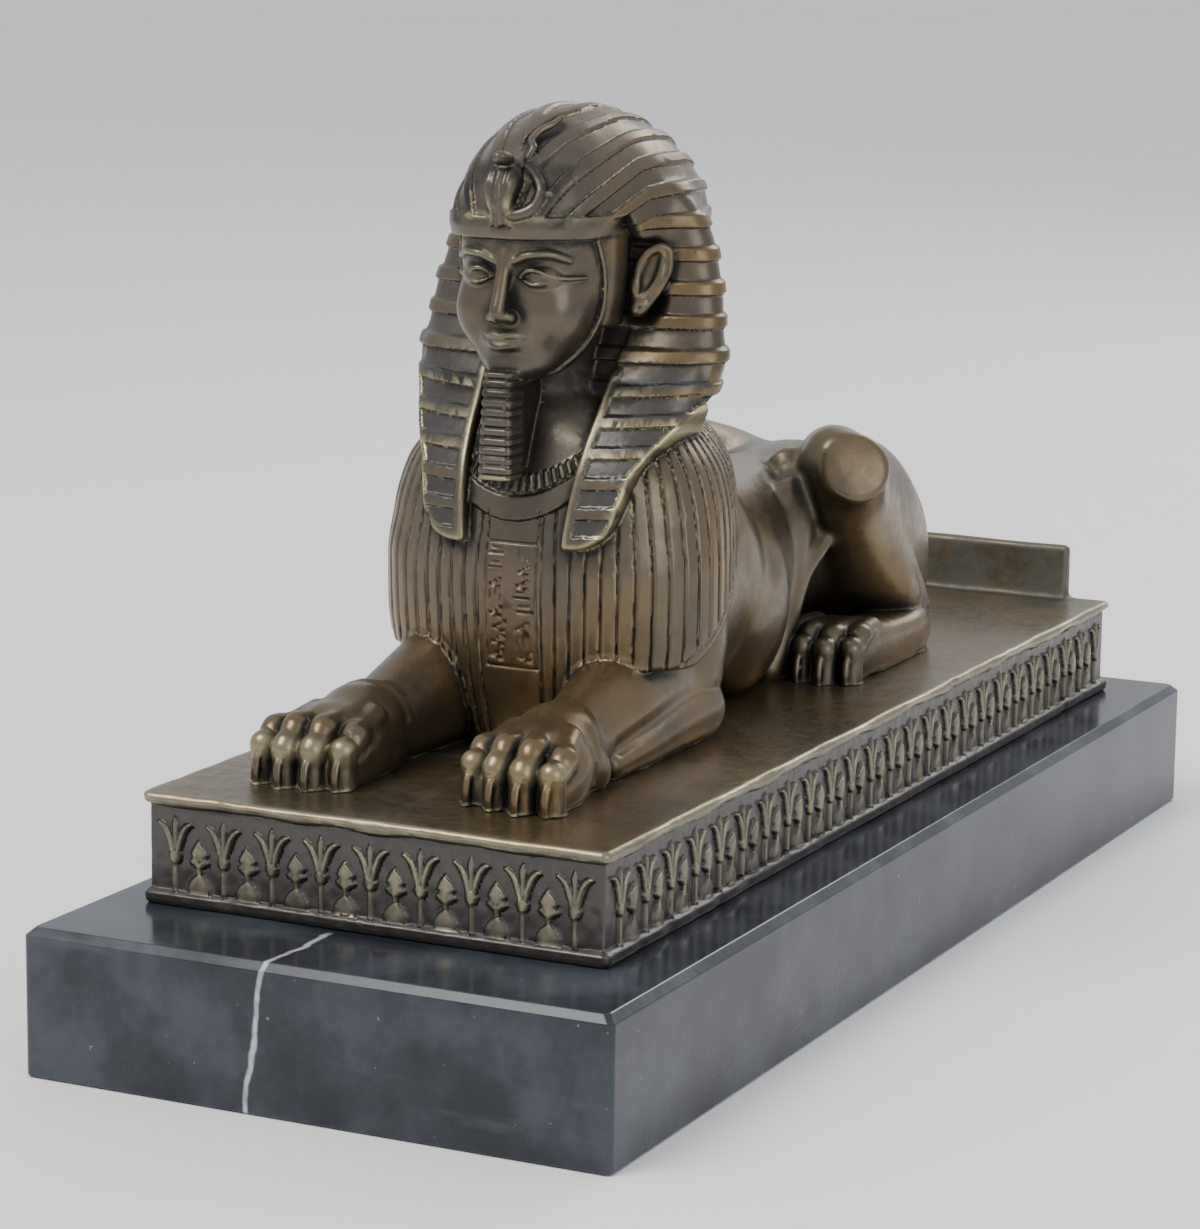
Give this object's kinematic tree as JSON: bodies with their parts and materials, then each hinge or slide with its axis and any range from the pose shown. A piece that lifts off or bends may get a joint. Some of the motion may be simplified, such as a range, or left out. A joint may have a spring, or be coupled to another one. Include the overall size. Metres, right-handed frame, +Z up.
{
  "type": "sphinx statue",
  "caption": "Small cast bronze sphinx lying on an oblong bronze plinth with a lotus frieze, on a polished black marble base.",
  "frame": {"origin": "centre of the marble base's underside", "axes": "+Z up, -Y the way the sphinx faces, +X to the right of someone facing its front"},
  "size_m": [0.127, 0.33, 0.1852],
  "materials": {
    "figure_bronze": "brown patinated bronze, semi-gloss, worn to brassy edges",
    "plinth_bronze": "dark brown patinated bronze with grey-black recesses and worn lip",
    "marble": "polished black marble with a white vein"
  },
  "bodies": {
    "root": {"sphinx": "figure_bronze", "bronze_plinth": "plinth_bronze", "marble_base": "marble"}
  },
  "joints": []
}
